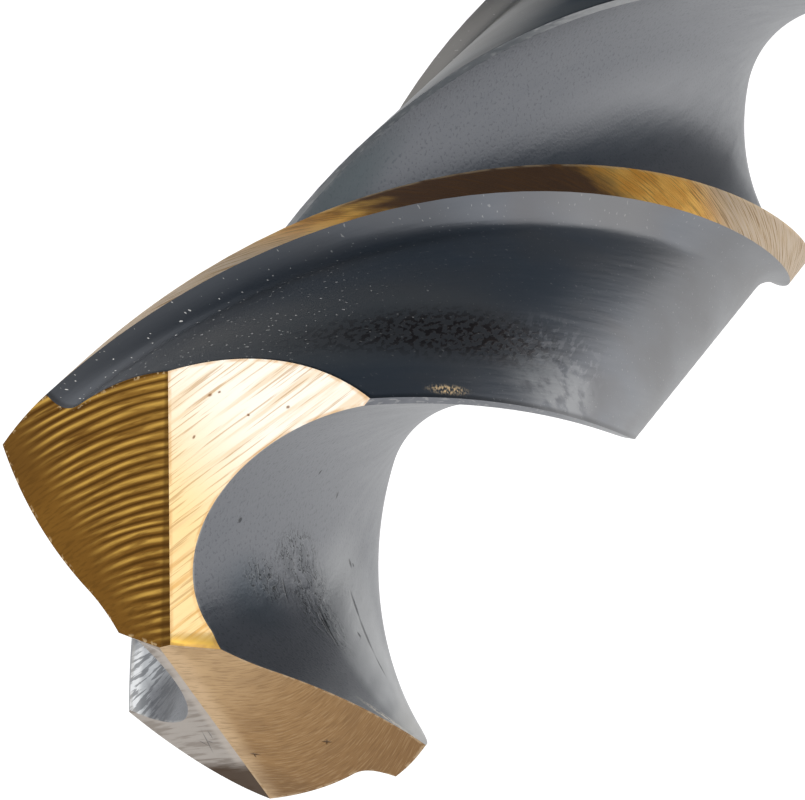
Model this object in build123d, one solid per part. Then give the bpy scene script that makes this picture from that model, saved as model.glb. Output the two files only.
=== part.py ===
from build123d import *
from math import acos, asin, atan2, cos, degrees, pi, radians, sin, sqrt, tan
import os

# Twist drill bit, 10 mm jobber length, right-hand, two flutes, split point.
# Millimetres and degrees. The drill stands on its shank end: its axis is Z, the origin is the
# centre of the shank's end face, and the point is at the top. Bearings are angles about Z.

# --- blank ---
drill_diameter = 10.0
overall_length = 133.0
shank_diameter = 9.9           # ground a little under the cutting diameter
shank_length = 42.0
shank_chamfer = 0.5
neck_diameter = 9.2            # relief between the shank and the body
neck_length = 2.0

# --- flutes ---
helix_angle = 28.0             # at the outer diameter
flute_length = 87.0            # point to the far end of the flutes' run-out
web_thickness = 1.4            # metal left between the two flute floors
flute_floor_radius = 2.85
flute_floor_lead = 55.5        # bearing of the floor's centre ahead of the outer corner
heel_chamfer = 0.16            # how far it reaches along the flute and along the land
runout_wheel_radius = 25.0     # the grinding wheel that leaves the flute at the shank

# --- lands ---
margin_width = 1.0             # along the circumference
margin_step_run = 0.45         # along the circumference, from the margin down to the clearance
clearance_depth = 0.55         # body ground back behind the margin
clearance_setback = 1.5        # how far it stops short of the flutes' end
clearance_runout = 3.0         # length of the ramp it climbs out on

# --- point ---
point_angle = 120.0
primary_relief = 19.0          # slope of each primary facet behind its lip
gash_tilt = 46.0               # slope of the split's flat, from the horizontal
gash_bearing = 93.3            # direction that flat faces, from the lip
gash_offset = 0.07             # its distance from the middle of the point
split_lip_bearing = 35.3       # direction of the short inner lip
split_lip_offset = 0.035       # its distance from the axis
gash_radius = 0.3              # corner of the wheel that grinds the split

# --- worked out from the sizes above ---
drill_radius = drill_diameter / 2
half_web = web_thickness / 2
clearance_radius = drill_radius - clearance_depth
body_start = shank_length + neck_length
flute_end = overall_length - flute_length
helix_lead = pi * drill_diameter / tan(radians(helix_angle))
twist = 360.0 / helix_lead     # degrees for each millimetre of length
facet_fall = 1 / tan(radians(point_angle / 2))
facet_relief = tan(radians(primary_relief))
# The outer corner of a lip lies half a web ahead of the centre line, on both of its facet's slopes.
corner_x = sqrt(drill_radius**2 - half_web**2)
corner_drop = corner_x * facet_fall - half_web * facet_relief
corner_bearing = degrees(asin(half_web / drill_radius)) + twist * corner_drop

waste = 1.0                    # how far a cutter stands outside the blank
reach = 4 * drill_radius       # half-size of the blocks that cut the point
rim = drill_radius + 2 * waste
cutter_top = overall_length + waste


def polar(radius, bearing, height=0.0):
    """Point at a radius and a bearing in degrees about the axis."""
    return Vector(radius * cos(radians(bearing)), radius * sin(radians(bearing)), height)


def bearing_of(point):
    """Bearing of a point or a direction about the axis."""
    return degrees(atan2(point.Y, point.X))


def beyond(start, end, distance):
    """Point on the line from start through end, a distance past the end."""
    return end + (end - start).normalized() * distance


def twisted(section, low):
    """A section drawn at the height of the point, extruded from a low height with the helix."""
    face = section.face().rotate(Axis.Z, twist * (low - overall_length))
    length = cutter_top - low
    return Solid.extrude_linear_with_rotation(
        face.moved(Location((0, 0, low))), (0, 0, low), (0, 0, length), twist * length
    )


def flute_section():
    """One flute: from the cutting edge down the straight face, round the floor, to the heel."""
    floor_centre_radius = half_web + flute_floor_radius
    floor_bearing = corner_bearing + flute_floor_lead
    floor_centre = polar(floor_centre_radius, floor_bearing)
    # The straight face is the tangent from the cutting edge to the floor, on the axis side.
    edge = polar(drill_radius, corner_bearing)
    to_centre = floor_centre - edge
    to_tangent = sqrt(to_centre.length**2 - flute_floor_radius**2)
    aim = bearing_of(to_centre) + degrees(asin(flute_floor_radius / to_centre.length))
    floor_start = edge + polar(to_tangent, aim)
    floor_middle = floor_centre - polar(flute_floor_radius, floor_bearing)
    # The heel is where the floor's circle comes back out through the clearance.
    cosine = (clearance_radius**2 + floor_centre_radius**2 - flute_floor_radius**2) / (
        2 * clearance_radius * floor_centre_radius
    )
    heel_bearing = floor_bearing + degrees(acos(cosine))
    heel_on_floor = bearing_of(polar(clearance_radius, heel_bearing) - floor_centre)
    floor_end = floor_centre + polar(
        flute_floor_radius, heel_on_floor + degrees(heel_chamfer / flute_floor_radius)
    )
    land_end = polar(clearance_radius, heel_bearing + degrees(heel_chamfer / clearance_radius))
    outside_edge = edge - polar(2 * waste, aim)
    outside_heel = beyond(floor_end, land_end, 2 * waste)
    return make_face(
        [
            Line(outside_edge, floor_start),
            ThreePointArc(floor_start, floor_middle, floor_end),
            Line(floor_end, outside_heel),
            ThreePointArc(
                outside_heel, polar(rim + waste, floor_bearing), outside_edge
            ),
        ]
    )


def margin_section():
    """What the clearance leaves of one land: its margin, with the sloping step behind it."""
    back = corner_bearing - degrees(margin_width / drill_radius)
    foot = polar(clearance_radius, back - degrees(margin_step_run / drill_radius))
    crest = polar(drill_radius, back)
    front = (back + corner_bearing + flute_floor_lead) / 2
    return make_face(
        Polyline(
            beyond(crest, foot, waste),
            beyond(foot, crest, 2 * waste),
            polar(rim, front),
            polar(clearance_radius - waste, front),
            close=True,
        )
    )


def flute_cutter():
    """One flute, twisted along the body, leaving the round core it climbs out on at the shank."""
    wheel_x = half_web / 2 + runout_wheel_radius
    top = flute_end + sqrt(runout_wheel_radius**2 - (wheel_x - drill_radius) ** 2)

    def on_wheel(radius):
        return radius, top - sqrt(runout_wheel_radius**2 - (wheel_x - radius) ** 2)

    outer = rim + 2 * waste
    low = on_wheel(outer)[1]
    core = make_face(
        [
            Line((0, low), (outer, low)),
            ThreePointArc(
                on_wheel(outer), on_wheel(drill_radius / 2), on_wheel(half_web / 2)
            ),
            Line(on_wheel(half_web / 2), (0, top)),
            Line((0, top), (0, low)),
        ]
    )
    return twisted(flute_section(), low) - revolve(Plane.XZ * core, Axis.Z)


def clearance_cutter():
    """The ring ground off both lands, with a ramp at the shank, less the two margins."""
    ramp_top = flute_end + clearance_setback + clearance_runout
    slope = clearance_runout / clearance_depth
    ring = make_face(
        Polyline(
            (clearance_radius, ramp_top),
            (rim, ramp_top - slope * (rim - clearance_radius)),
            (rim, cutter_top),
            (clearance_radius, cutter_top),
            close=True,
        )
    )
    cutter = revolve(Plane.XZ * ring, Axis.Z)
    margin = twisted(margin_section(), flute_end - reach)
    for turn in (0, 180):
        cutter = cutter - margin.rotate(Axis.Z, turn)
    return cutter


def facet_block():
    """Everything above one primary facet: it falls along the lip and again behind it."""
    facing = Vector(facet_fall, -facet_relief, 1)
    facet = Plane(origin=(0, 0, overall_length), x_dir=(0, 0, 1), z_dir=facing)
    return facet * Box(2 * reach, 2 * reach, reach, align=(Align.CENTER, Align.CENTER, Align.MIN))


def split_notch():
    """The notch that thins the web: a sloping flat and an upright face that meet in a round."""
    tip = Vector(0, 0, overall_length)
    tilt = radians(gash_tilt)
    flat_facing = polar(sin(tilt), gash_bearing, cos(tilt))
    lip_facing = polar(1.0, split_lip_bearing + 90)
    bottom = flat_facing.cross(lip_facing).normalized()
    # Where both faces pass at their own distance from the tip.
    blend = flat_facing.dot(lip_facing)
    flat_part = (gash_offset - blend * split_lip_offset) / (1 - blend**2)
    lip_part = (split_lip_offset - blend * gash_offset) / (1 - blend**2)
    foot = tip + flat_facing * flat_part + lip_facing * lip_part
    along_flat = bottom.cross(flat_facing).normalized()
    along_lip = lip_facing.cross(bottom).normalized()
    across = Plane(origin=foot, x_dir=along_flat, z_dir=bottom)
    corners = [
        across.to_local_coords(foot + step)
        for step in (
            Vector(0, 0, 0),
            along_flat * reach,
            along_flat * reach + along_lip * reach,
            along_lip * reach,
        )
    ]
    profile = make_face(Polyline(*corners, close=True))
    root = profile.vertices().sort_by_distance((0, 0, 0))[0]
    return extrude(across * fillet(root, gash_radius), reach, both=True)


def twist_drill():
    """The blank, ground in the order of the real one: flutes, clearance, point, split."""
    half_profile = make_face(
        Polyline(
            (0, 0),
            (shank_diameter / 2 - shank_chamfer, 0),
            (shank_diameter / 2, shank_chamfer),
            (shank_diameter / 2, shank_length),
            (neck_diameter / 2, shank_length),
            (neck_diameter / 2, body_start),
            (drill_radius, body_start),
            (drill_radius, overall_length),
            (0, overall_length),
            close=True,
        )
    )
    drill = revolve(Plane.XZ * half_profile, Axis.Z)
    flute = flute_cutter()
    facet = facet_block()
    notch = split_notch()
    for turn in (0, 180):
        drill = drill - flute.rotate(Axis.Z, turn)
    drill = drill - clearance_cutter()
    for turn in (0, 180):
        drill = drill - facet.rotate(Axis.Z, turn)
        drill = drill - notch.rotate(Axis.Z, turn)
    return drill


os.makedirs("parts", exist_ok=True)
drill_bit = twist_drill().solid()
export_step(drill_bit, "parts/drill_bit.step")
print("drill_bit volume", round(drill_bit.volume, 2), "valid", drill_bit.is_valid)
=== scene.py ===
from math import atan2, hypot, radians, tan

import bpy
import numpy as np
from mathutils import Euler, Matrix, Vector


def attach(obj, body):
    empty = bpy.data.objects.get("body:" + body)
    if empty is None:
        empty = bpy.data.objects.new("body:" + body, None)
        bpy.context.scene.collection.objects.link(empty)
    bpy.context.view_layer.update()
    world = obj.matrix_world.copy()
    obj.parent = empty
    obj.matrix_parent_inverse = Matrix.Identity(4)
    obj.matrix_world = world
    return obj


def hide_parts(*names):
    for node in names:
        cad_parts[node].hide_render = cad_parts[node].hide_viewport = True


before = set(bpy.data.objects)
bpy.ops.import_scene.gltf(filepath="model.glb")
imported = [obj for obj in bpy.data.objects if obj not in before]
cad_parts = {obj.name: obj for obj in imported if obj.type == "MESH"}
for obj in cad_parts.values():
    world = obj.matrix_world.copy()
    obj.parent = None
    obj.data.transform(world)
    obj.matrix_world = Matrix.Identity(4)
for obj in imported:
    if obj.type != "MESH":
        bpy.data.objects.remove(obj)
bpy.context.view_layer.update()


# ------------------------------------------------------------------------------------------
# The ground section of the drill: one piece of high-speed steel, milled and ground from round
# bar. Two flutes and two lands turn up the body on a right-hand helix. All lengths here are
# millimetres from the very point of the drill, with z up.
# ------------------------------------------------------------------------------------------
DRILL_RADIUS = 5.0
CLEARANCE_RADIUS = 4.45
MARGIN_WIDTH = 1.0
STEP_WIDTH = 0.75             # the hollow behind the margin, along the circumference
STEP_END = MARGIN_WIDTH + STEP_WIDTH
STEP_POWER = 2.4              # how steeply the hollow falls away from the margin
HALF_WEB = 0.7
FLOOR_RADIUS = 2.85           # round bottom of the flute
FLOOR_LEAD = radians(55.5)    # bearing of its centre ahead of the cutting edge
HEEL_CHAMFER = 0.16
TWIST = tan(radians(28.0)) / DRILL_RADIUS     # radians for each millimetre up the drill
LENGTH = 133.0

LIP_SLOPE = 1 / tan(radians(60.0))            # fall of a primary facet along its lip
RELIEF_SLOPE = tan(radians(19.0))             # and behind it
LIP_CORNER = np.array([np.sqrt(DRILL_RADIUS**2 - HALF_WEB**2), HALF_WEB])
CORNER_DROP = LIP_CORNER[0] * LIP_SLOPE - HALF_WEB * RELIEF_SLOPE
EDGE_BEARING = np.arctan2(LIP_CORNER[1], LIP_CORNER[0]) + TWIST * CORNER_DROP


def polar(radius, bearing):
    """Points at radii and bearings about the axis, x and y stacked on the last axis."""
    return np.stack([radius * np.cos(bearing), radius * np.sin(bearing)], -1)


def turned(points, angle):
    """Plan points turned about the axis: the plane rotation by the angle, point by point."""
    c, s = np.cos(angle), np.sin(angle)
    x, y = points[..., 0], points[..., 1]
    return np.stack([c * x - s * y, s * x + c * y], -1)


def land_outline(arc):
    """Outline of a land at an arc length behind its cutting edge, on the drill's own circle.

    The radius is the full one over the margin, then falls with the power law
    depth * (1 - (1 - t)**power) over the hollow, and stays at the clearance radius after it.
    """
    t = np.clip((arc - MARGIN_WIDTH) / STEP_WIDTH, 0, 1)
    radius = DRILL_RADIUS - (DRILL_RADIUS - CLEARANCE_RADIUS) * (1 - (1 - t) ** STEP_POWER)
    return polar(radius, EDGE_BEARING - arc / DRILL_RADIUS)


def flute_line():
    """One flute's outline: its arc's centre, start angle and sweep, the straight face's two
    ends, and the heel's bearing.

    The straight face is the tangent from the cutting edge to the floor's circle. The heel is
    where that circle meets the clearance circle. The outline here belongs to the flute behind
    the land whose edge is at EDGE_BEARING, so it ends at the next cutting edge, half a turn on.
    """
    next_edge = EDGE_BEARING - np.pi
    centre_bearing = next_edge + FLOOR_LEAD
    reach = HALF_WEB + FLOOR_RADIUS
    centre = polar(reach, centre_bearing)
    edge = polar(DRILL_RADIUS, next_edge)
    to_centre = centre - edge
    distance = np.hypot(*to_centre)
    aim = np.arctan2(to_centre[1], to_centre[0]) + np.arcsin(FLOOR_RADIUS / distance)
    start = edge + polar(np.sqrt(distance**2 - FLOOR_RADIUS**2), aim)
    cosine = (CLEARANCE_RADIUS**2 + reach**2 - FLOOR_RADIUS**2) / (2 * CLEARANCE_RADIUS * reach)
    heel_bearing = centre_bearing + np.arccos(cosine)
    heel = polar(CLEARANCE_RADIUS, heel_bearing) - centre
    heel_angle = np.arctan2(heel[1], heel[0]) + HEEL_CHAMFER / FLOOR_RADIUS
    start_angle = np.arctan2(*(start - centre)[::-1])
    sweep = (start_angle - heel_angle) % (2 * np.pi)
    return centre, heel_angle, sweep, start, edge, heel_bearing


FLOOR_CENTRE, HEEL_ANGLE, FLOOR_SWEEP, FACE_START, FACE_END, HEEL_BEARING = flute_line()
FLOOR_ARC = FLOOR_RADIUS * FLOOR_SWEEP
FACE_ARC = np.hypot(*(FACE_END - FACE_START))
LAND_ARC = DRILL_RADIUS * (EDGE_BEARING - HEEL_BEARING - HEEL_CHAMFER / CLEARANCE_RADIUS)


def flute_outline(arc):
    """Outline of a flute at an arc length from its heel: round the floor, then straight."""
    angle = HEEL_ANGLE + np.minimum(arc, FLOOR_ARC) / FLOOR_RADIUS
    floor = FLOOR_CENTRE + polar(FLOOR_RADIUS, angle)
    share = np.clip((arc - FLOOR_ARC) / FACE_ARC, 0, 1)[..., None]
    return np.where(share > 0, FACE_START + (FACE_END - FACE_START) * share, floor)


# ------------------------------------------------------------------------------------------
# The point: each land ends in a primary facet behind its lip and in the flat of the split,
# ground on a wheel after hardening. Each facet is one patch between the edges that bound it.
# ------------------------------------------------------------------------------------------
SPLIT_TILT, SPLIT_BEARING, SPLIT_OFFSET = radians(46.0), radians(93.3), 0.07
INNER_LIP_BEARING, INNER_LIP_OFFSET = radians(35.3), 0.035
SPLIT_ROUND = 0.22            # width of the hollow at the foot of the inner lip
ALONG, INNER, CHISEL = 120, 28, 48            # cells along a lip, an inner lip, a chisel edge
MARGIN_CELLS, STEP_CELLS, CHAMFER_CELLS, FLOOR_CELLS = 6, 12, 3, 76


def primary_facet(x, y):
    """Height of the first land's primary facet: a plane that falls outward and rearward."""
    return -LIP_SLOPE * x + RELIEF_SLOPE * y


def split_flat(x, y):
    """Height of the flat that the split leaves on the first land: a plane leaning to -y.

    Close to the next land's inner lip it rises in a hollow to meet that land's primary facet,
    by the square of the distance that is left to the lip over the hollow's width.
    """
    nx, ny = np.sin(SPLIT_TILT) * polar(1.0, SPLIT_BEARING + np.pi)
    flat = (SPLIT_OFFSET - nx * x - ny * y) / np.cos(SPLIT_TILT)
    lx, ly = polar(1.0, INNER_LIP_BEARING + np.pi / 2)
    gap = -(lx * x + ly * y) - INNER_LIP_OFFSET
    rise = np.clip(1 - gap / SPLIT_ROUND, 0, 1) ** 2
    return flat + rise * np.maximum(primary_facet(-x, -y) - flat, 0)


def lifted(outline, facet, first_height=-3.0, repeats=80):
    """Outline points carried up their helix until they meet a facet.

    The height is repeated as facet(outline turned by twist times height) until it settles.
    """
    z = np.full(outline.shape[:-1], first_height)
    for _ in range(repeats):
        plan = turned(outline, TWIST * z)
        z = facet(plan[..., 0], plan[..., 1])
    plan = turned(outline, TWIST * z)
    return np.concatenate([plan, z[..., None]], -1)


def next_primary(x, y):
    """Height of the second land's primary facet: the first one's after half a turn."""
    return primary_facet(-x, -y)


def crossing(curve, value, low, high, halvings=60):
    """Where a function of an arc length changes sign, by halving the span between two ends."""
    rising = value(curve(np.array([high])))[0] > 0
    for _ in range(halvings):
        middle = (low + high) / 2
        if (value(curve(np.array([middle])))[0] > 0) == rising:
            high = middle
        else:
            low = middle
    return (low + high) / 2


def ridge_side(outline):
    """Positive where the split's flat is the lower one: there the land ends in that flat."""
    top = lifted(outline, primary_facet)
    return top[:, 2] - split_flat(top[:, 0], top[:, 1])


def lip_side(outline):
    """Positive on the rake side of the next inner lip: there the flute ends at the lip."""
    top = lifted(outline, next_primary)
    lx, ly = polar(1.0, INNER_LIP_BEARING + np.pi / 2)
    return lx * top[:, 0] + ly * top[:, 1] + INNER_LIP_OFFSET


RIDGE_ARC = crossing(land_outline, ridge_side, STEP_END, LAND_ARC)
LIP_ARC = crossing(flute_outline, lip_side, 0.5 * FLOOR_ARC, FLOOR_ARC + FACE_ARC)

margin_arcs = np.concatenate([
    np.linspace(0, MARGIN_WIDTH, MARGIN_CELLS + 1)[:-1],
    np.linspace(MARGIN_WIDTH, STEP_END, STEP_CELLS + 1)[:-1],
    np.linspace(STEP_END, RIDGE_ARC, CHISEL - MARGIN_CELLS - STEP_CELLS + 1),
])
heel_arcs = np.linspace(RIDGE_ARC, LAND_ARC, INNER - CHAMFER_CELLS + 1)
chamfer_share = np.linspace(0, 1, CHAMFER_CELLS + 1)[1:, None]
land_end, floor_end = land_outline(LAND_ARC), flute_outline(np.array(0.0))
outline_heel = np.concatenate(
    [land_outline(heel_arcs), land_end + (floor_end - land_end) * chamfer_share]
)
flute_arcs = np.linspace(0, LIP_ARC, FLOOR_CELLS + 1)
face_arcs = np.linspace(LIP_ARC, FLOOR_ARC + FACE_ARC, ALONG - INNER + 1)

rim_primary = lifted(land_outline(margin_arcs), primary_facet)
rim_split = lifted(outline_heel, split_flat)
rim_flute = lifted(flute_outline(flute_arcs), split_flat)
rim_lip = lifted(flute_outline(face_arcs), next_primary)
# Neighbouring rims share their end points.
rim_split[0], rim_flute[0], rim_flute[-1] = rim_primary[-1], rim_split[-1], rim_lip[0]


def half_turn(points):
    """The same points on the other land: x and y change sign."""
    return points * np.array([-1, -1, 1])


def straight(start, end, cells, facet):
    """An edge that is straight in plan, with its heights read from a facet."""
    plan = start[:2] + (end - start)[:2] * np.linspace(0, 1, cells + 1)[:, None]
    edge = np.concatenate([plan, facet(plan[:, 0], plan[:, 1])[:, None]], -1)
    edge[0], edge[-1] = start, end
    return edge


def chisel_end():
    """The end of the chisel edge on the first land's split, where three facets meet.

    The two primary facets are equally high along one level line through the axis, and the end
    is where that line meets the flat.
    """
    along = np.array([RELIEF_SLOPE, LIP_SLOPE]) / np.hypot(RELIEF_SLOPE, LIP_SLOPE)
    nx, ny = np.sin(SPLIT_TILT) * polar(1.0, SPLIT_BEARING + np.pi)
    plan = along * SPLIT_OFFSET / (nx * along[0] + ny * along[1])
    return np.append(plan, primary_facet(*plan))


def patch(bottom, top, left, right, facet):
    """A surface spanned between four edges.

    In plan it is the sum of the two ruled surfaces less the flat one through the corners, and
    each height is read from the facet.
    """
    u = np.linspace(0, 1, len(bottom))[:, None, None]
    v = np.linspace(0, 1, len(left))[None, :, None]
    ruled = (1 - v) * bottom[:, None] + v * top[:, None]
    ruled = ruled + (1 - u) * left[None] + u * right[None]
    corners = (1 - u) * ((1 - v) * bottom[0] + v * top[0])
    corners = corners + u * ((1 - v) * bottom[-1] + v * top[-1])
    grid = ruled - corners
    grid[..., 2] = facet(grid[..., 0], grid[..., 1])
    grid[:, 0], grid[:, -1], grid[0], grid[-1] = bottom, top, left, right
    return grid


def along_edge(edge):
    """How far along an edge each of its points lies in plan, from 0 at its start to 1."""
    steps = np.hypot(*np.diff(edge[:, :2], axis=0).T)
    reached = np.concatenate([[0], np.cumsum(steps)])
    return reached / reached[-1]


def zipped(outer, inner, side, facet):
    """A surface between two edges that start at the two ends of a side and meet at their end.

    Points of the two edges are paired by their share of the length, each point waiting for the
    other edge to catch up. Rows are straight in plan from one to the other.
    """
    outer_share, inner_share = along_edge(outer), along_edge(inner)
    shares = np.union1d(outer_share, inner_share)
    outer = outer[np.searchsorted(outer_share, shares, side="right") - 1]
    inner = inner[np.searchsorted(inner_share, shares, side="right") - 1]
    v = np.linspace(0, 1, len(side))[None, :, None]
    grid = (1 - v) * outer[:, None] + v * inner[:, None]
    grid[..., 2] = facet(grid[..., 0], grid[..., 1])
    grid[:, 0], grid[:, -1], grid[0], grid[-1] = outer, inner, side, outer[-1]
    return grid


split_corner = chisel_end()
chisel = straight(half_turn(split_corner), split_corner, CHISEL, primary_facet)
inner_lip = straight(split_corner, rim_lip[0], INNER, next_primary)
ridge = straight(split_corner, rim_primary[-1], ALONG, primary_facet)
lip = half_turn(np.concatenate([inner_lip[:-1], rim_lip]))
primary = patch(lip, ridge, chisel, rim_primary, primary_facet)
split_rim = np.concatenate([ridge[:-1], rim_split])
split = zipped(split_rim, rim_flute[::-1], inner_lip, split_flat)

# ------------------------------------------------------------------------------------------
# The body under the point: the section carried down its helix, then out of the flutes on the
# arc that the grinding wheel leaves, and on as the relief neck and the plain round shank.
# ------------------------------------------------------------------------------------------
WHEEL_RADIUS = 25.0
FLUTE_END = -87.0
BODY_START, SHANK_TOP = -89.0, -91.0
NECK_RADIUS, SHANK_RADIUS, SHANK_CHAMFER = 4.6, 4.95, 0.5
LEVEL_TOP, FINE_END, RUNOUT_TOP = -8.0, -40.0, -72.0      # where rows are level, widen, close up
RIM_ROWS, FINE_STEP, WIDE_STEP, RUNOUT_ROWS = 18, 0.7, 1.2, 31
GATHER_TOP, GATHER_LENGTH = -60.0, 17.0       # where the flute's columns draw together
CORE_CELLS = 60               # cells across the run-out core


def runout_radius(z):
    """Radius of the round core that the flutes climb out on: the arc of the wheel."""
    wheel_x = HALF_WEB / 2 + WHEEL_RADIUS
    top = FLUTE_END + np.sqrt(WHEEL_RADIUS**2 - (wheel_x - DRILL_RADIUS) ** 2)
    below = np.clip(top - z, 0, None)
    core = wheel_x - np.sqrt(WHEEL_RADIUS**2 - below**2)
    return np.where(z >= top, 0.0, np.minimum(core, DRILL_RADIUS))


def body_grid(outline, top, z_rows, rows_to_level):
    """Half of the body as rows of points down the helix, and each point's place on the outline.

    The first rows close from the point's uneven rim to a level section, in equal shares of
    height. Each outline point is turned by twist times height. Under GATHER_TOP the flute's
    middle columns gather at its deepest line, by the share of GATHER_LENGTH gone down. Under
    that they cover the run-out core, spread evenly by bearing between the two places where the
    outline's radius is the core's. The other columns share what is left of the flute's sides.
    """
    shares = np.linspace(0, 1, rows_to_level + 1)[:-1, None]
    z = top + (z_rows[0] - top) * shares
    z = np.concatenate([z, np.repeat(z_rows[:, None], len(top), 1)])
    radius = np.hypot(outline[:, 0], outline[:, 1])
    bearing = np.unwrap(np.arctan2(outline[:, 1], outline[:, 0]))
    core = runout_radius(z)
    columns = np.arange(len(outline))
    heel, deepest, edge = CHISEL + INNER, radius.argmin(), len(outline) - 1
    left, right = deepest - CORE_CELLS // 2, deepest + CORE_CELLS // 2
    low = np.interp(core, radius[heel : deepest + 1][::-1], columns[heel : deepest + 1][::-1])
    high = np.interp(core, radius[deepest:], columns[deepest:])
    share = np.clip((columns - left) / (right - left), 0, 1)
    heel_side = heel + (columns - heel) * (low - heel) / (left - heel)
    edge_side = edge - (edge - columns) * (edge - high) / (edge - right)
    place = np.where(columns < left, heel_side, low + (high - low) * share)
    place = np.where(columns > right, edge_side, place)
    gather = np.clip((GATHER_TOP - z) / GATHER_LENGTH, 0, 1)
    place = np.where(columns <= heel, columns, columns + (place - columns) * gather)
    low_bearing = np.interp(low, columns, bearing)
    high_bearing = np.interp(high, columns, bearing)
    on_core = (columns >= left) & (columns <= right) & (core > radius[deepest])
    spread = low_bearing + (high_bearing - low_bearing) * share
    angle = np.where(on_core, spread, np.interp(place, columns, bearing))
    reach = np.maximum(np.interp(place, columns, radius), core)
    return np.concatenate([polar(reach, angle + TWIST * z), z[..., None]], -1), place


outline = np.concatenate([
    land_outline(margin_arcs)[:-1], outline_heel[:-1],
    flute_outline(flute_arcs)[:-1], flute_outline(face_arcs),
])
rim = np.concatenate([rim_primary[:-1], rim_split[:-1], rim_flute[:-1], rim_lip])
z_rows = np.concatenate([
    np.arange(LEVEL_TOP, FINE_END, -FINE_STEP),
    np.arange(FINE_END, RUNOUT_TOP, -WIDE_STEP),
    np.linspace(RUNOUT_TOP, FLUTE_END, RUNOUT_ROWS),
])
half_body, place = body_grid(outline, rim[:, 2], z_rows, RIM_ROWS)
half_body[0] = rim
body = np.concatenate([half_body[:, :-1], half_turn(half_body)], 1)
# The body's last row is round. The shank is that row at each radius of a lathe profile.
unit = body[-1] / np.array([DRILL_RADIUS, DRILL_RADIUS, 1])
shank_profile = np.array([
    (DRILL_RADIUS, BODY_START), (NECK_RADIUS, BODY_START), (NECK_RADIUS, SHANK_TOP),
    (SHANK_RADIUS, SHANK_TOP), (SHANK_RADIUS, SHANK_CHAMFER - LENGTH),
    (SHANK_RADIUS - SHANK_CHAMFER, -LENGTH), (0.0, -LENGTH),
])
shank = np.concatenate([
    unit[None, :, :2] * shank_profile[:, None, :1],
    np.broadcast_to(shank_profile[:, None, 1:], (len(shank_profile), len(unit), 1)),
], -1)
shank = np.concatenate([body[-1:], shank])

# ------------------------------------------------------------------------------------------
# The whole surface as one closed mesh. Each zone of it takes its own finish, and each point
# carries its place on the ground surface and its distance from the nearest sharp edge.
# ------------------------------------------------------------------------------------------
MARGIN, LAND, HEEL, FLUTE, SHANK, LIP_DARK, LIP_PALE, SPLIT_BRIGHT, SPLIT_GREY = range(9)
CHAMFER_ARC = 1.4 * HEEL_CHAMFER              # across the chamfer's own face
FLUTE_START_ARC = LAND_ARC + CHAMFER_ARC
outline_arc = np.concatenate([
    margin_arcs[:-1], heel_arcs[:-1],
    LAND_ARC + np.linspace(0, CHAMFER_ARC, CHAMFER_CELLS + 1)[:-1],
    FLUTE_START_ARC + flute_arcs[:-1], FLUTE_START_ARC + face_arcs,
])
half = len(outline) - 1
column = np.arange(half)
heel_end = CHISEL + INNER
half_zones = np.select(
    [column < MARGIN_CELLS, column < heel_end - CHAMFER_CELLS, column < heel_end],
    [MARGIN, LAND, HEEL],
    FLUTE,
)


def facet_edge(grid):
    """Distance of each point of a facet from the nearest point of its four sides."""
    sides = np.concatenate([grid[0], grid[-1], grid[:, 0], grid[:, -1]])[:, :2]
    gaps = grid[..., None, :2] - sides
    return np.hypot(gaps[..., 0], gaps[..., 1]).min(-1)


def body_edge(grid, arc):
    """Distance of each point of half the body from the rim above it or the sharp edge beside it.

    The edges beside it are the two cutting edges and both sides of the heel's chamfer.
    """
    below = grid[:1, :, 2] - grid[..., 2]
    edges = np.array([0, arc.max(), LAND_ARC, FLUTE_START_ARC])
    beside = np.abs(arc[..., None] - edges).min(-1)
    return np.minimum(below, beside)


def quads(grid, uv, edge, zone):
    """Vertices, faces, face-corner texture points, edge distances and zones of a grid."""
    rows, cols = grid.shape[:2]
    index = np.arange(rows * cols).reshape(rows, cols)
    cells = np.stack(
        [index[:-1, :-1], index[:-1, 1:], index[1:, 1:], index[1:, :-1]], -1
    ).reshape(-1, 4)
    zones = np.broadcast_to(zone, (rows - 1, cols - 1)).reshape(-1)
    edge = np.broadcast_to(edge, (rows, cols)).reshape(-1)
    edge = np.stack([edge, edge], -1)
    return grid.reshape(-1, 3), cells, uv.reshape(-1, 2)[cells], edge[cells], zones


def facet_uv(grid, turn, shift=0.0):
    """Facet texture points: plan millimetres from the axis, with x along the lip beside it."""
    return grid[..., :2] * turn + [shift, 0]


body_arc = np.interp(place, np.arange(len(outline)), outline_arc)
body_uv = np.stack([body_arc, half_body[..., 2]], -1)
shank_uv = np.stack([
    np.broadcast_to(outline_arc[None], (len(shank), len(outline_arc))),
    np.broadcast_to(shank[:, :1, 2], (len(shank), len(outline_arc))),
], -1)
SECOND = 40.0                 # shifts the second land's texture points, so it has its own marks
NO_EDGE = 9.0                 # edge distance on the shank, whose shoulders wear by height
second_uv = body_uv + [SECOND, 0]
primary_edge, split_edge = facet_edge(primary), facet_edge(split)
land_edge = body_edge(half_body, body_arc)
parts = [
    quads(primary, facet_uv(primary, 1), primary_edge, LIP_PALE),
    quads(half_turn(primary), facet_uv(primary, 1, SECOND), primary_edge, LIP_DARK),
    quads(split, facet_uv(split, -1), split_edge, SPLIT_GREY),
    quads(half_turn(split), facet_uv(split, -1, SECOND), split_edge, SPLIT_BRIGHT),
    quads(half_body, body_uv, land_edge, half_zones[None]),
    quads(half_turn(half_body), second_uv, land_edge, half_zones[None]),
    quads(shank[:, : half + 1], shank_uv, NO_EDGE, SHANK),
    quads(shank[:, half:], shank_uv + [SECOND, 0], NO_EDGE, SHANK),
]

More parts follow.
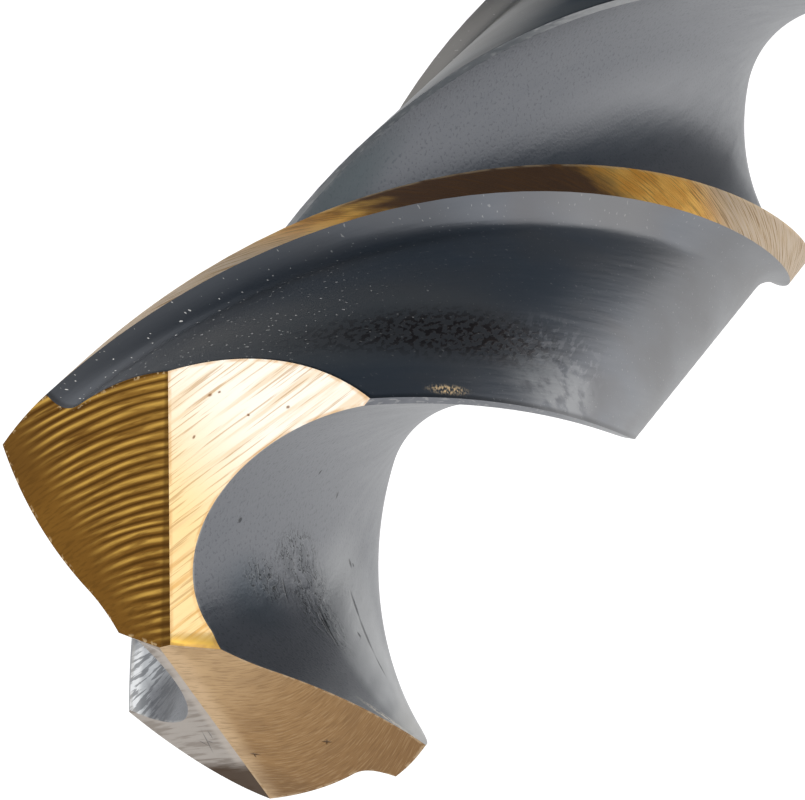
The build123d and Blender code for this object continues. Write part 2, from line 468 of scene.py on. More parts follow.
# The grids' points are numbered one after another, so each grid's faces move up by its start.
starts = np.cumsum([0] + [len(grid_points) for grid_points, *_ in parts[:-1]])
points, cells, corner_uv, corner_edge, zones = [
    np.concatenate(columns) for columns in zip(*parts)
]
cells = cells + np.repeat(starts, [len(grid_cells) for _, grid_cells, *_ in parts])[:, None]

# Points that meet are one. A face keeps each of its corners once, and needs three of them.
welded, weld = np.unique(np.round(points, 6), axis=0, return_inverse=True)
cells = weld.reshape(-1)[cells]
own_corner = cells != np.roll(cells, -1, 1)
sizes = own_corner.sum(1)
solid_face = sizes > 2
keep = (own_corner & solid_face[:, None]).reshape(-1)
sizes = sizes[solid_face]
loops = cells.reshape(-1)[keep]

mesh = bpy.data.meshes.new("drill_bit_steel")
mesh.vertices.add(len(welded))
mesh.vertices.foreach_set("co", ((welded + [0, 0, LENGTH]) / 1000).ravel())
mesh.loops.add(len(loops))
mesh.loops.foreach_set("vertex_index", loops)
mesh.polygons.add(len(sizes))
mesh.polygons.foreach_set("loop_start", np.concatenate([[0], np.cumsum(sizes)[:-1]]))
mesh.polygons.foreach_set("material_index", zones[solid_face].astype(np.int32))
uv_map = mesh.uv_layers.new(name="ground_mm")
uv_map.data.foreach_set("uv", corner_uv.reshape(-1, 2)[keep].ravel())
edge_map = mesh.uv_layers.new(name="edge_mm")
edge_map.data.foreach_set("uv", corner_edge.reshape(-1, 2)[keep].ravel())
mesh.update(calc_edges=True)
mesh.validate()
mesh.polygons.foreach_set("use_smooth", np.ones(len(mesh.polygons), bool))
mesh.set_sharp_from_angle(angle=radians(30))
drill = bpy.data.objects.new("drill_bit_ground", mesh)
bpy.context.scene.collection.objects.link(drill)

# ------------------------------------------------------------------------------------------
# The nine finishes of the steel, in the order of the zones' numbers. Oxide black covers the
# milled surfaces, and what was ground later shows bare steel or its temper colours.
# ------------------------------------------------------------------------------------------
def node(tree, kind, inputs=(), **settings):
    """A shader node with its settings. Each input is a plain value or another's output."""
    made = tree.nodes.new("ShaderNode" + kind)
    for name, value in settings.items():
        setattr(made, name, value)
    for key, value in dict(inputs).items():
        if isinstance(value, bpy.types.NodeSocket):
            tree.links.new(value, made.inputs[key])
        else:
            made.inputs[key].default_value = value
    return made


def maths(tree, operation, *values):
    """The output of a Math node: the operation on one, two or three values."""
    return node(tree, "Math", enumerate(values), operation=operation).outputs[0]


def both(tree, first, second):
    """One share of another: their product."""
    return maths(tree, "MULTIPLY", first, second)


def without(tree, share):
    """What a share leaves of the whole: one less the share."""
    return maths(tree, "SUBTRACT", 1.0, share)


def strongest(tree, *shares):
    """The greatest of several shares."""
    found = shares[0]
    for share in shares[1:]:
        found = maths(tree, "MAXIMUM", found, share)
    return found


def mixed(tree, share, first, second):
    """The colour a share of the way from the first to the second."""
    first, second = [
        value if isinstance(value, bpy.types.NodeSocket) else (*value, 1)
        for value in (first, second)
    ]
    return node(tree, "Mix", {0: share, 6: first, 7: second}, data_type="RGBA").outputs[2]


def tinted(tree, colour, share, strength, tint):
    """A colour with a tint laid over it, by the share times the tint's own strength."""
    return mixed(tree, both(tree, share, strength), colour, tint)


def between(tree, value, low, high):
    """0 at the low end, 1 at the high end, and an S-curve from one to the other."""
    inputs = {"Value": value, "From Min": low, "From Max": high}
    return node(tree, "MapRange", inputs, interpolation_type="SMOOTHSTEP").outputs[0]


def band(tree, value, low, high, soft):
    """1 from the low value to the high one, fading to 0 over a soft distance past each."""
    inside = between(tree, value, low - soft, low)
    return both(tree, inside, between(tree, value, high + soft, high))


def parts_of(tree, point):
    """The two numbers of a texture point."""
    numbers = node(tree, "SeparateXYZ", {0: point})
    return numbers.outputs[0], numbers.outputs[1]


def away_from(tree, point, centre):
    """The offset of a texture point from a centre: their difference."""
    inputs = {0: point, 1: (*centre, 0)}
    return node(tree, "VectorMath", inputs, operation="SUBTRACT").outputs[0]


def length_of(tree, offset):
    """The length of an offset."""
    return node(tree, "VectorMath", {0: offset}, operation="LENGTH").outputs["Value"]


def along_line(tree, point, direction):
    """How far a texture point lies along a direction: their dot product."""
    inputs = {0: point, 1: (*direction, 0)}
    return node(tree, "VectorMath", inputs, operation="DOT_PRODUCT").outputs["Value"]


def turned_point(tree, point, angle):
    """A texture point turned about zero, so that its own axes lie along another direction."""
    inputs = {"Vector": point, "Angle": angle}
    return node(tree, "VectorRotate", inputs, rotation_type="Z_AXIS").outputs[0]


def grain(tree, point, across, along, detail=3.0):
    """Noise from 0 to 1 with its own number of spots to the millimetre in two directions."""
    inputs = {0: point, 1: (across, along, 1)}
    point = node(tree, "VectorMath", inputs, operation="MULTIPLY").outputs[0]
    inputs = {"Vector": point, "Scale": 1.0, "Detail": detail}
    return node(tree, "TexNoise", inputs, noise_dimensions="2D").outputs[0]


def mark(tree, point, centre, length, width, angle=0.0, soft=0.5):
    """1 within an ellipse and 0 outside it: one less the length of the scaled, turned offset."""
    offset = turned_point(tree, away_from(tree, point, centre), -angle)
    inputs = {0: offset, 1: (2 / length, 2 / width, 0)}
    scaled = node(tree, "VectorMath", inputs, operation="MULTIPLY").outputs[0]
    return between(tree, length_of(tree, scaled), 1.0, 1.0 - soft)


def scratch(tree, point, start, end, width):
    """1 on a straight scratch between two texture points: a very long mark."""
    (x, y), (along, across) = start, (end[0] - start[0], end[1] - start[1])
    centre = (x + along / 2, y + across / 2)
    return mark(tree, point, centre, hypot(along, across), width, atan2(across, along), 0.8)


def steel_finish(name):
    """A bare metal finish: its node tree, its shader and the surface's own millimetre point."""
    material = bpy.data.materials.new(name)
    material.use_nodes = True
    tree = material.node_tree
    steel = tree.nodes["Principled BSDF"]
    steel.inputs["Metallic"].default_value = 1.0
    mesh.materials.append(material)
    point = node(tree, "UVMap", uv_map="ground_mm").outputs[0]
    return tree, steel, point


def near_edge(tree, reach):
    """1 at a sharp edge, fading to 0 at a reach in millimetres from it."""
    gap = node(tree, "UVMap", uv_map="edge_mm").outputs[0]
    return between(tree, parts_of(tree, gap)[0], reach, reach * 0.3)


def coloured(tree, steel, colour, share, smooth, rough):
    """The finish's colour, and its roughness a share of the way from smooth to rough."""
    tree.links.new(colour, steel.inputs["Base Color"])
    roughness = maths(tree, "MULTIPLY_ADD", share, rough - smooth, smooth)
    tree.links.new(roughness, steel.inputs["Roughness"])


def relief(tree, steel, height, depth):
    """Small relief on a finish: a bump of a height from 0 to 1 over a depth in millimetres."""
    inputs = {"Height": height, "Strength": 1.0, "Distance": depth / 1000}
    tree.links.new(node(tree, "Bump", inputs).outputs[0], steel.inputs["Normal"])


# Margin: ground to size after the oxide, so it shows straw and brown temper colour, with painted
# shade and highlight.
tree, steel, point = steel_finish("margin_straw_gold")
_, height_mm = parts_of(tree, point)
grind = grain(tree, turned_point(tree, point, radians(35)), 1.2, 14.0, 4.0)
blotch = grain(tree, point, 1.6, 1.2, 5.0)
# A band of brown temper colour, darkened further with painted shade.
brown_and_painted_shade = maths(tree, "MULTIPLY_ADD", blotch, 2.4, height_mm)
brown_and_painted_shade = band(tree, brown_and_painted_shade, -15.9, -10.9, 1.9)
# Pale near the point, where the margin is rubbed, and past z = -21, where the paleness is a painted
# highlight.
rubbed = strongest(
    tree, between(tree, height_mm, -11.0, -8.0), between(tree, height_mm, -21.0, -23.2)
)
gold = mixed(tree, between(tree, blotch, 0.3, 0.7), (0.80, 0.38, 0.055), (1.0, 0.58, 0.13))
gold = mixed(tree, brown_and_painted_shade, gold, (0.120, 0.058, 0.024))
gold = mixed(tree, rubbed, gold, (0.60, 0.475, 0.345))
gold = mixed(tree, both(tree, between(tree, grind, 0.40, 0.70), rubbed), gold, (0.50, 0.33, 0.15))
gold = tinted(tree, gold, between(tree, grind, 0.54, 0.68), 0.5, (0.16, 0.075, 0.022))
worn = both(tree, near_edge(tree, 0.10), between(tree, blotch, 0.35, 0.55))
gold = tinted(tree, gold, worn, 0.35, (0.85, 0.66, 0.42))
steel.inputs["Metallic"].default_value = 0.8
coloured(tree, steel, gold, grind, 0.40, 0.60)
relief(tree, steel, grind, 0.014)

# Land clearance: black oxide over the milled surface. It has a baked stain behind the point,
# a scuffed patch past it, rubbed gold spots by the heel and pale dust in the hollow.
tree, steel, point = steel_finish("land_black_oxide")
across, height_mm = parts_of(tree, point)
streak = grain(tree, point, 5.0, 0.45)
cloud = grain(tree, point, 0.7, 0.35, 2.0)
oxide = mixed(tree, streak, (0.175, 0.188, 0.212), (0.222, 0.231, 0.252))
oxide = mixed(tree, between(tree, cloud, 0.35, 0.75), oxide, (0.195, 0.196, 0.207))
# Behind the second land's point: a pale rubbed haze, then a smoky brown one.
pale = mark(tree, point, (44.1, -5.2), 5.0, 6.4, 0.0, 0.8)
oxide = tinted(tree, oxide, pale, 0.7, (0.34, 0.335, 0.325))
smoky = mark(tree, point, (44.3, -7.0), 5.4, 14.0, 0.1, 0.8)
oxide = tinted(tree, oxide, smoky, 0.8, (0.33, 0.298, 0.275))
# Painted shade darkens the hollow behind the margin down to z = -12, and a painted reflection
# lightens a band of it at -18. Lower down both lands turn darker, their hollows last.
hollow = between(tree, maths(tree, "MODULO", across, SECOND), 2.0, 1.6)
painted_hollow_shade = both(tree, hollow, between(tree, height_mm, -15.0, -12.0))
oxide = tinted(tree, oxide, painted_hollow_shade, 0.65, (0.095, 0.104, 0.118))
lighter = both(tree, hollow, band(tree, height_mm, -18.4, -17.0, 2.0))
oxide = tinted(tree, oxide, lighter, 0.6, (0.27, 0.27, 0.275))
farther = strongest(
    tree,
    both(tree, between(tree, height_mm, -15.5, -19.0), without(tree, hollow)),
    between(tree, height_mm, -19.5, -24.0),
)
oxide = tinted(tree, oxide, farther, 0.6, (0.13, 0.13, 0.135))
# The first land is warmer where it comes round again.
warm = both(tree, between(tree, across, 20.0, 19.0), band(tree, height_mm, -42.0, -27.0, 5.0))
warm = both(tree, warm, between(tree, cloud, 0.15, 0.45))
oxide = tinted(tree, oxide, warm, 0.8, (0.27, 0.258, 0.242))
# Wear on the second land: a rubbed patch, the stain's dark flecks and the scuffs past them.
rubbed = both(
    tree,
    mark(tree, point, (46.4, -11.5), 2.9, 5.0, 0.0, 0.7),
    between(tree, grain(tree, point, 2.6, 1.7, 7.0), 0.30, 0.56),
)
oxide = tinted(tree, oxide, rubbed, 0.9, (0.39, 0.395, 0.405))
fleck = grain(tree, turned_point(tree, point, 0.45), 10.0, 3.4, 9.0)
stain = both(
    tree,
    mark(tree, point, (45.15, -8.7), 2.5, 10.4, radians(3), 0.75),
    strongest(tree, between(tree, fleck, 0.42, 0.58), 0.50),
)
oxide = tinted(tree, oxide, stain, 0.96, (0.040, 0.026, 0.022))
scuff = both(
    tree,
    mark(tree, point, (45.5, -12.4), 2.8, 4.6, 0.0, 0.7),
    between(tree, grain(tree, turned_point(tree, point, 0.5), 7.0, 2.2, 6.0), 0.52, 0.62),
)
oxide = tinted(tree, oxide, scuff, 0.5, (0.40, 0.40, 0.42))
oxide = tinted(tree, oxide, near_edge(tree, 0.16), 0.6, (0.045, 0.043, 0.045))
# A smear of gold by the heel, and dust, which is no metal.
spots = both(
    tree,
    mark(tree, point, (46.97, -7.05), 0.40, 1.7, 0.0, 0.7),
    between(tree, grain(tree, turned_point(tree, point, 0.8), 24.0, 8.0, 7.0), 0.40, 0.62),
)
oxide = mixed(tree, spots, oxide, (0.85, 0.60, 0.31))
dust_place = both(tree, between(tree, height_mm, -13.0, -4.0), between(tree, across, 46.8, 43.0))
dust = both(
    tree,
    between(tree, grain(tree, point, 11.0, 11.0, 1.0), 0.765, 0.79),
    strongest(tree, dust_place, 0.2),
)
oxide = mixed(tree, dust, oxide, (0.80, 0.79, 0.76))
coloured(tree, steel, oxide, strongest(tree, both(tree, cloud, 0.8), stain), 0.32, 0.44)
bare = without(tree, strongest(tree, dust, both(tree, spots, 0.7)))
tree.links.new(bare, steel.inputs["Metallic"])
relief(tree, steel, maths(tree, "ADD", streak, both(tree, fleck, stain)), 0.006)

# Heel: the narrow chamfer between land and flute, rubbed and nicked.
tree, steel, point = steel_finish("heel_bare_steel")
_, height_mm = parts_of(tree, point)
blotch = grain(tree, point, 6.0, 2.5, 5.0)
worn = mixed(tree, blotch, (0.14, 0.147, 0.165), (0.22, 0.226, 0.245))
worn = mixed(tree, between(tree, height_mm, -10.0, -22.0), worn, (0.33, 0.335, 0.34))
nicks = between(tree, grain(tree, point, 9.0, 3.5, 4.0), 0.58, 0.66)
worn = tinted(tree, worn, nicks, 0.5, (0.45, 0.45, 0.45))
coloured(tree, steel, worn, nicks, 0.36, 0.46)
relief(tree, steel, blotch, 0.008)

# Flute: black oxide over the milled floor, satin, scored by chips and rubbed along the edge.
tree, steel, point = steel_finish("flute_black_oxide")
across, height_mm = parts_of(tree, point)
streak = grain(tree, point, 4.0, 0.7)
speck = grain(tree, point, 13.0, 11.0, 3.0)
oxide = mixed(tree, streak, (0.160, 0.168, 0.185), (0.208, 0.214, 0.230))
oxide = tinted(tree, oxide, between(tree, speck, 0.58, 0.70), 0.5, (0.09, 0.095, 0.11))
# Tones of the first flute farther down, then of the second flute: worn pale beside the lip's
# outer end and deep blue-black by the point.
lighter = mark(tree, point, (10.8, -31.0), 2.8, 15.0, 0.12, 0.8)
oxide = tinted(tree, oxide, lighter, 0.7, (0.26, 0.265, 0.28))
bluish = mark(tree, point, (7.8, -19.6), 1.8, 6.4, 0.0, 0.8)
oxide = tinted(tree, oxide, bluish, 0.75, (0.095, 0.118, 0.128))
worn = maths(tree, "ADD", maths(tree, "MULTIPLY_ADD", across, -0.85, 50.215), height_mm)
worn = both(tree, between(tree, worn, 0.4, -0.6), between(tree, across, 51.8, 53.4))
worn = both(tree, worn, between(tree, height_mm, -10.4, -6.8))
oxide = tinted(tree, oxide, worn, 0.9, (0.43, 0.435, 0.44))
deeper = mark(tree, point, (52.0, -2.8), 2.4, 3.2, 0.3, 0.8)
oxide = tinted(tree, oxide, deeper, 0.7, (0.090, 0.112, 0.135))
# Where chips rub the second flute: curled dark flecks with pale edges, chips caught at the
# corner, scratches and pits.
ragged = grain(tree, turned_point(tree, point, radians(-22)), 4.2, 5.2, 5.0)
chafed = strongest(
    tree,
    mark(tree, point, (52.2, -5.3), 2.2, 3.2, 0.3, 0.7),
    both(tree, mark(tree, point, (51.8, -3.5), 1.4, 2.2, 0.3, 0.8), 0.9),
    both(tree, mark(tree, point, (53.1, -5.0), 2.6, 2.4, 0.6, 0.8), 0.8),
)
chafed = both(tree, chafed, between(tree, grain(tree, point, 2.0, 2.4, 5.0), 0.30, 0.52))
dark_flecks = both(tree, chafed, band(tree, ragged, 0.500, 0.520, 0.022))
light_flecks = both(tree, chafed, band(tree, ragged, 0.450, 0.460, 0.018))
oxide = tinted(tree, oxide, chafed, 0.3, (0.10, 0.106, 0.115))
oxide = tinted(tree, oxide, dark_flecks, 1.6, (0.022, 0.024, 0.026))
oxide = tinted(tree, oxide, light_flecks, 0.70, (0.34, 0.355, 0.37))
lip_wear = both(tree, between(tree, across, 55.2, 56.0), between(tree, height_mm, -8.0, -4.0))
oxide = tinted(tree, oxide, lip_wear, 0.8, (0.58, 0.56, 0.52))
chips = both(
    tree,
    scratch(tree, point, (54.6, -2.35), (56.4, -2.55), 0.55),
    between(tree, grain(tree, point, 7.0, 7.0, 4.0), 0.42, 0.52),
)
oxide = mixed(tree, chips, oxide, (0.88, 0.78, 0.64))
scored = strongest(
    tree,
    scratch(tree, point, (53.30, -7.63), (54.04, -7.03), 0.22),
    scratch(tree, point, (53.70, -7.30), (54.75, -6.44), 0.26),
    scratch(tree, point, (54.50, -6.64), (55.15, -6.16), 0.18),
    scratch(tree, point, (52.90, -5.30), (53.90, -4.40), 0.15),
    scratch(tree, point, (53.05, -5.00), (53.60, -4.60), 0.13),
    scratch(tree, point, (51.90, -4.40), (52.60, -3.90), 0.09),
    mark(tree, point, (50.406, -2.979), 0.13, 0.18),
    mark(tree, point, (53.051, -8.366), 0.26, 0.20, 0.4, 0.7),
    mark(tree, point, (51.355, -7.735), 0.20, 0.16, 0.6, 0.7),
    mark(tree, point, (50.345, -6.211), 0.18, 0.12, 1.0, 0.7),
    mark(tree, point, (54.05, -6.34), 0.16, 0.20, 0.0, 0.7),
    mark(tree, point, (53.15, -8.55), 0.10, 0.12),
)
oxide = tinted(tree, oxide, scored, 0.85, (0.03, 0.032, 0.036))
# The first flute beside the split: bare, torn metal between darker stretches.
near_point = mark(tree, point, (8.1, -4.9), 2.2, 3.6, 0.0, 0.3)
bare = strongest(tree, between(tree, across, 8.0, 7.7), between(tree, height_mm, -4.6, -5.4))
oxide = tinted(tree, oxide, both(tree, near_point, bare), 0.85, (0.58, 0.60, 0.62))
corner = between(tree, across, 7.74, 7.60)
oxide = tinted(tree, oxide, both(tree, near_point, corner), 0.8, (0.95, 0.96, 0.97))
tears = grain(tree, turned_point(tree, point, radians(40)), 2.0, 8.0, 7.0)
torn = both(tree, near_point, between(tree, tears, 0.48, 0.56))
oxide = tinted(tree, oxide, torn, 0.65, (0.06, 0.065, 0.075))
inner = both(tree, near_point, between(tree, across, 7.95, 8.25))
oxide = tinted(tree, oxide, inner, 0.5, (0.09, 0.095, 0.105))
patchy = between(tree, grain(tree, point, 3.0, 3.0, 4.0), 0.40, 0.60)
worn = both(tree, near_edge(tree, 0.09), patchy)
worn = both(tree, worn, between(tree, height_mm, -24.0, -8.0))
oxide = tinted(tree, oxide, worn, 0.5, (0.46, 0.45, 0.43))
coloured(tree, steel, oxide, strongest(tree, streak, chafed), 0.31, 0.43)
height = maths(tree, "ADD", both(tree, streak, 0.5), both(tree, speck, 0.5))
height = maths(tree, "ADD", height, both(tree, ragged, both(tree, chafed, 2.0)))
relief(tree, steel, maths(tree, "SUBTRACT", height, scored), 0.009)

# Shank and neck: turned, then oxide black.
tree, steel, point = steel_finish("shank_black_oxide")
_, height_mm = parts_of(tree, point)
turning = grain(tree, point, 0.3, 8.0)
oxide = mixed(tree, turning, (0.16, 0.168, 0.185), (0.225, 0.232, 0.247))
shoulder = strongest(
    tree,
    band(tree, height_mm, -91.08, -90.9, 0.10),
    band(tree, height_mm, -89.0, -88.9, 0.10),
    between(tree, height_mm, -132.30, -132.48),
)
worn = both(tree, shoulder, between(tree, grain(tree, point, 1.2, 5.0, 4.0), 0.36, 0.56))
oxide = tinted(tree, oxide, worn, 0.6, (0.50, 0.49, 0.47))
coloured(tree, steel, oxide, turning, 0.28, 0.42)
relief(tree, steel, turning, 0.006)

# Second land's primary facet: dark straw temper colour over coarse arcs left by the wheel.
ARC_CENTRE, ARC_PITCH = (36.2, 2.3), 0.158    # where the arcs turn about, and their spacing
RIDGE_NORMAL = (0.626, 0.780)                 # in plan, nearly square to the facets' ridge
tree, steel, point = steel_finish("facet_bronze")
across, behind = parts_of(tree, point)
offset = away_from(tree, point, ARC_CENTRE)
sweep = length_of(tree, offset)
right, up = parts_of(tree, offset)
around = both(tree, maths(tree, "ARCTAN2", up, right), 5.0)
arcs = node(tree, "CombineXYZ", {0: sweep, 1: around}).outputs[0]
# The arcs' crests come from the distance to their centre, a little unsteady. Close to the lip
# they fade out.
waver = both(tree, grain(tree, arcs, 1.5, 0.35, 2.0), 0.22)
turns = maths(tree, "DIVIDE", maths(tree, "ADD", sweep, waver), ARC_PITCH)
crest = both(tree, maths(tree, "PINGPONG", turns, 0.5), 2.0)
broken = grain(tree, arcs, 9.0, 1.4, 5.0)
cut = between(tree, behind, 0.50, -0.35)
cloud = grain(tree, point, 1.1, 1.1, 4.0)
fine = grain(tree, arcs, 22.0, 5.0, 3.0)
bronze = mixed(tree, cloud, (0.20, 0.092, 0.018), (0.285, 0.138, 0.026))
bronze = tinted(tree, bronze, between(tree, behind, -1.0, -2.2), 0.5, (0.42, 0.225, 0.045))
bronze = tinted(tree, bronze, between(tree, across, 43.4, 44.6), 0.45, (0.145, 0.070, 0.018))
bronze = tinted(tree, bronze, between(tree, fine, 0.45, 0.70), 0.4, (0.12, 0.055, 0.012))
# Painted highlight on the arcs' crests and painted shade in the grooves between them, both fading
# out close to the lip.
painted_crest_highlight = both(tree, between(tree, crest, 0.40, 0.92), cut)
painted_crest_highlight = both(tree, painted_crest_highlight, between(tree, broken, 0.26, 0.62))
bronze = tinted(tree, bronze, painted_crest_highlight, 0.9, (0.78, 0.47, 0.10))
gap = both(tree, both(tree, between(tree, crest, 0.42, 0.08), cut), 0.8)
bronze = mixed(tree, gap, bronze, (0.085, 0.036, 0.007))
on_ridge = SECOND * RIDGE_NORMAL[0]
from_ridge = along_line(tree, point, RIDGE_NORMAL)
ridge = between(tree, from_ridge, on_ridge + 0.13, on_ridge + 0.04)
bronze = tinted(tree, bronze, ridge, 0.6, (0.10, 0.045, 0.010))
chips = both(
    tree,
    both(tree, near_edge(tree, 0.07), without(tree, ridge)),
    between(tree, grain(tree, point, 9.0, 9.0, 4.0), 0.56, 0.66),
)
bronze = tinted(tree, bronze, chips, 0.6, (0.80, 0.60, 0.34))
coloured(tree, steel, bronze, broken, 0.30, 0.42)
relief(tree, steel, both(tree, maths(tree, "ADD", crest, both(tree, broken, 0.5)), cut), 0.014)

# First land's primary facet: the same grind, finer, with a thin matt temper colour.
tree, steel, point = steel_finish("facet_tan")
outward, _ = parts_of(tree, point)
along, aside = parts_of(tree, turned_point(tree, point, radians(-42)))
# The lines bow: each is moved aside by the square of the distance gone along it.
bend = maths(tree, "MAXIMUM", maths(tree, "SUBTRACT", along, 0.9), 0.0)
bend = maths(tree, "POWER", bend, 2.0)
bowed = maths(tree, "MULTIPLY_ADD", bend, -0.29, aside)
arcs = node(tree, "CombineXYZ", {0: bowed, 1: along}).outputs[0]
lines = grain(tree, arcs, 26.0, 3.0, 6.0)
cloud = grain(tree, arcs, 1.6, 0.8, 5.0)
tan_tone = mixed(tree, between(tree, outward, 0.3, 2.8), (0.68, 0.465, 0.255), (0.40, 0.235, 0.100))
tan_tone = mixed(tree, between(tree, outward, 2.4, 5.0), tan_tone, (0.30, 0.166, 0.066))
ridge = between(tree, along_line(tree, point, RIDGE_NORMAL), 0.42, 0.05)
tan_tone = tinted(tree, tan_tone, ridge, 0.8, (0.74, 0.53, 0.32))
duller = mark(tree, point, (3.7, -2.3), 2.4, 1.5, 0.0, 0.8)
tan_tone = tinted(tree, tan_tone, duller, 0.5, (0.22, 0.125, 0.055))
tan_tone = tinted(tree, tan_tone, between(tree, lines, 0.50, 0.68), 0.32, (0.19, 0.104, 0.043))
tan_tone = tinted(tree, tan_tone, between(tree, lines, 0.46, 0.34), 0.24, (0.62, 0.43, 0.235))
tan_tone = tinted(tree, tan_tone, between(tree, cloud, 0.45, 0.75), 0.3, (0.24, 0.135, 0.060))
pits = strongest(
    tree,
    scratch(tree, point, (3.40, -0.55), (3.62, -0.40), 0.07),
    scratch(tree, point, (3.47, -0.38), (3.56, -0.58), 0.06),
    scratch(tree, point, (2.55, -1.80), (2.78, -1.66), 0.06),
    scratch(tree, point, (2.60, -1.70), (2.74, -1.82), 0.05),
)
tan_tone = tinted(tree, tan_tone, pits, 0.85, (0.05, 0.025, 0.012))
patchy = between(tree, grain(tree, point, 6.0, 6.0, 4.0), 0.44, 0.58)
burr = both(tree, near_edge(tree, 0.07), patchy)
tan_tone = tinted(tree, tan_tone, burr, 0.55, (0.66, 0.50, 0.32))
coloured(tree, steel, tan_tone, lines, 0.36, 0.48)
relief(tree, steel, maths(tree, "SUBTRACT", lines, pits), 0.008)

# Second land's split flat: freshly ground, almost white, in straight streaks.
STREAK_TURN = radians(14.3)                   # of the streaks on both flats
LIP_NORMAL = (-0.578, 0.816)                  # in plan, square to the inner lip
tree, steel, point = steel_finish("split_bright")
_, up = parts_of(tree, point)
lengthwise = turned_point(tree, point, STREAK_TURN)
streaks = grain(tree, lengthwise, 7.0, 0.40, 6.0)
fine = grain(tree, lengthwise, 18.0, 0.7, 5.0)
low = between(tree, up, 3.3, 1.3)
bright = mixed(tree, low, (0.90, 0.832, 0.725), (0.86, 0.635, 0.32))
bright = tinted(tree, bright, between(tree, streaks, 0.50, 0.66), 0.5, (0.76, 0.55, 0.32))
bright = tinted(tree, bright, between(tree, fine, 0.55, 0.66), 0.6, (0.46, 0.27, 0.11))
burnt = both(tree, between(tree, up, 1.6, 0.4), between(tree, streaks, 0.48, 0.62))
bright = tinted(tree, bright, burnt, 0.75, (0.70, 0.38, 0.09))
on_lip = SECOND * LIP_NORMAL[0] + INNER_LIP_OFFSET
from_lip = maths(tree, "ADD", along_line(tree, point, LIP_NORMAL), -on_lip)
bright = tinted(tree, bright, between(tree, from_lip, 0.22, 0.05), 0.95, (1.0, 0.62, 0.12))
pits = strongest(
    tree,
    mark(tree, point, (37.407, 2.930), 0.10, 0.07, 1.0, 0.9),
    mark(tree, point, (38.654, 3.561), 0.09, 0.07, 0.6, 0.9),
    mark(tree, point, (37.728, 2.360), 0.09, 0.06, 2.0, 0.9),
    mark(tree, point, (38.2, 3.1), 0.08, 0.05, 0.2, 0.9),
    mark(tree, point, (37.5, 3.05), 0.07, 0.05, 0.9, 0.9),
    mark(tree, point, (38.9, 2.7), 0.06, 0.05, 0.2, 0.9),
)
bright = tinted(tree, bright, pits, 0.9, (0.25, 0.10, 0.03))
patchy = between(tree, grain(tree, point, 3.0, 3.0, 3.0), 0.30, 0.60)
worn = both(tree, near_edge(tree, 0.07), patchy)
bright = tinted(tree, bright, worn, 0.6, (0.60, 0.34, 0.13))
coloured(tree, steel, bright, streaks, 0.32, 0.44)
relief(tree, steel, maths(tree, "SUBTRACT", streaks, pits), 0.006)

# First land's split flat: the same grind, tarnished grey, pale along the ridge and almost
# black in the far corner.
TARNISH_NORMAL = (-0.947, 0.322)              # in plan, square to the edge of the black
tree, steel, point = steel_finish("split_grey")
lengthwise = turned_point(tree, point, STREAK_TURN)
streaks = grain(tree, lengthwise, 9.0, 0.6, 5.0)
grey = mixed(tree, between(tree, streaks, 0.45, 0.62), (0.365, 0.318, 0.275), (0.235, 0.190, 0.150))
pale = between(tree, along_line(tree, point, RIDGE_NORMAL), 0.50, 0.20)
grey = tinted(tree, grey, pale, 0.8, (0.47, 0.405, 0.345))
far = along_line(tree, point, TARNISH_NORMAL)
far = maths(tree, "ADD", far, both(tree, streaks, 0.3))
tarnish = between(tree, far, 3.16, 3.58)
grey = tinted(tree, grey, tarnish, 0.92, (0.095, 0.066, 0.048))
scores = strongest(
    tree,
    scratch(tree, point, (-1.53, 2.19), (-2.13, 2.97), 0.07),
    scratch(tree, point, (-1.65, 2.92), (-1.94, 2.70), 0.06),
    scratch(tree, point, (-1.65, 2.00), (-1.90, 2.25), 0.06),
    scratch(tree, point, (-1.95, 2.35), (-1.80, 2.60), 0.05),
)
grey = tinted(tree, grey, scores, 0.8, (0.05, 0.04, 0.035))
coloured(tree, steel, grey, streaks, 0.36, 0.48)
tree.links.new(without(tree, tarnish), steel.inputs["Metallic"])
steel.inputs["Specular IOR Level"].default_value = 0.0
relief(tree, steel, maths(tree, "SUBTRACT", streaks, scores), 0.008)

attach(drill, "root")
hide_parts("drill_bit")

# ------------------------------------------------------------------------------------------
# The studio: a pale paper floor, a soft white sky and one soft lamp on the camera's side. A
# dark card that only reflections show gives the steel its dark tones.
# ------------------------------------------------------------------------------------------
FLOOR_SEEN, FLOOR_MIRRORED = 0.45, 0.25       # glow of the floor to the camera, to the steel
SKY, SKY_SEEN = 0.8, 0.2                      # light of the sky, and how much more is seen

floor_mesh = bpy.data.meshes.new("studio_floor")
floor_mesh.from_pydata(
    [(-2, -2, 0), (2, -2, 0), (2, 2, 0), (-2, 2, 0)], [], [(0, 1, 2, 3)]
)
floor = bpy.data.objects.new("studio_floor", floor_mesh)
bpy.context.scene.collection.objects.link(floor)
paper = bpy.data.materials.new("floor_paper")
paper.use_nodes = True
tree = paper.node_tree
matt = tree.nodes["Principled BSDF"]
matt.inputs["Base Color"].default_value = (0.9, 0.9, 0.9, 1)
matt.inputs["Roughness"].default_value = 0.9
rays = node(tree, "LightPath")
mirrored = maths(tree, "MULTIPLY", rays.outputs["Is Glossy Ray"], FLOOR_MIRRORED)
strength = maths(tree, "MULTIPLY_ADD", rays.outputs["Is Camera Ray"], FLOOR_SEEN, mirrored)
glow = node(tree, "Emission", {"Color": (1, 1, 1, 1), "Strength": strength})
lit = node(tree, "AddShader", {0: matt.outputs[0], 1: glow.outputs[0]})
tree.links.new(lit.outputs[0], tree.nodes["Material Output"].inputs["Surface"])
floor_mesh.materials.append(paper)

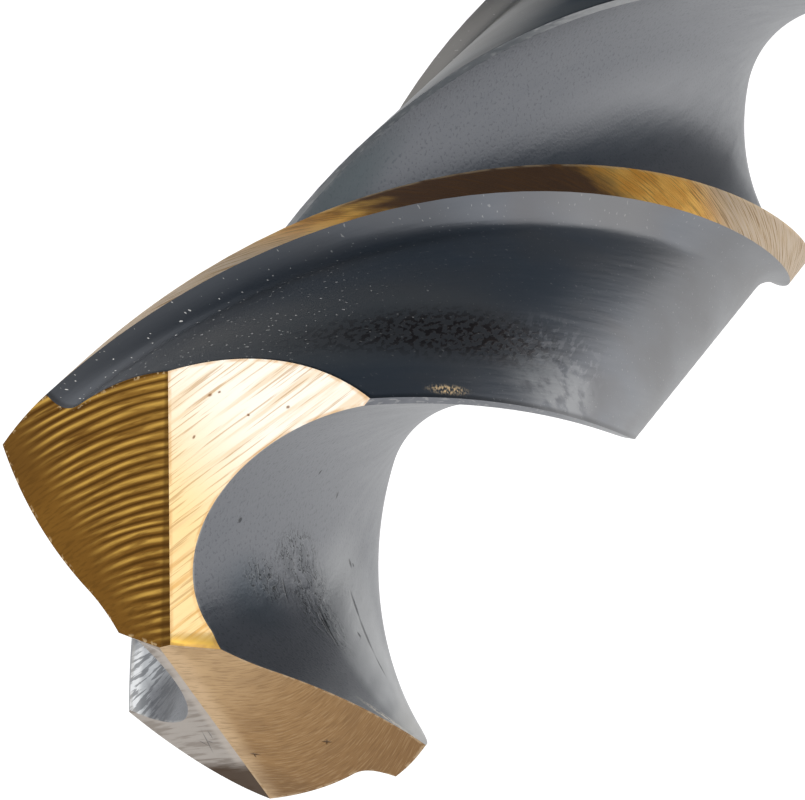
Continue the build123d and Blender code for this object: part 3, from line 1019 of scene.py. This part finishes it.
world = bpy.data.worlds.new("studio_sky")
world.use_nodes = True
bpy.context.scene.world = world
tree = world.node_tree
backdrop = tree.nodes["Background"]
backdrop.inputs["Color"].default_value = (1, 1, 1, 1)
seen = node(tree, "LightPath").outputs["Is Camera Ray"]
strength = maths(tree, "MULTIPLY_ADD", seen, SKY_SEEN, SKY)
tree.links.new(strength, backdrop.inputs["Strength"])

softbox = bpy.data.lights.new("front_softbox", "AREA")
softbox.size = 0.30
softbox.energy = 0.22
lamp = bpy.data.objects.new("front_softbox", softbox)
lamp.location = (-0.045, 0.40, 0.345)
towards_point = Vector((0, 0, 0.13)) - lamp.location
lamp.rotation_euler = towards_point.to_track_quat("-Z", "Y").to_euler()
bpy.context.scene.collection.objects.link(lamp)

card_mesh = bpy.data.meshes.new("dark_card")
CARD_HEIGHT = 0.001
CARD_OUTLINE = [
    (-0.125, -0.035), (-0.06, -0.055), (-0.045, -0.02), (0.0, -0.02), (0.012, -0.012),
    (0.022, 0.010), (0.060, 0.027), (0.060, 0.06), (0.050, 0.10), (0.075, 0.18), (0.14, 0.35),
    (0.2, 0.6), (-0.45, 0.6), (-0.32, 0.25), (-0.19, 0.19), (-0.145, 0.1),
]
card_corners = [(x, y, CARD_HEIGHT) for x, y in CARD_OUTLINE]
card_mesh.from_pydata(card_corners, [], [range(len(card_corners))])
card = bpy.data.objects.new("dark_card", card_mesh)
bpy.context.scene.collection.objects.link(card)
felt = bpy.data.materials.new("card_felt")
felt.use_nodes = True
matt = felt.node_tree.nodes["Principled BSDF"]
matt.inputs["Base Color"].default_value = (0.080, 0.108, 0.140, 1)
matt.inputs["Roughness"].default_value = 1.0
matt.inputs["Specular IOR Level"].default_value = 0.0
card_mesh.materials.append(felt)
card.visible_camera = card.visible_diffuse = card.visible_shadow = False

# ------------------------------------------------------------------------------------------
# The camera: a long lens close above the point, looking down the flutes.
# ------------------------------------------------------------------------------------------
lens = bpy.data.cameras.new("point_camera")
lens.sensor_width = 36.0
lens.lens = 236.189
lens.shift_x = 0.003127
lens.shift_y = -0.004421
lens.clip_start = 0.005
camera = bpy.data.objects.new("point_camera", lens)
camera.location = (0.00082585, 0.05176198, 0.21779128)
camera.rotation_euler = Euler((radians(-20.97003), radians(18.505023), radians(38.738442)))
bpy.context.scene.collection.objects.link(camera)
bpy.context.scene.camera = camera
bpy.context.scene.view_settings.view_transform = "Standard"
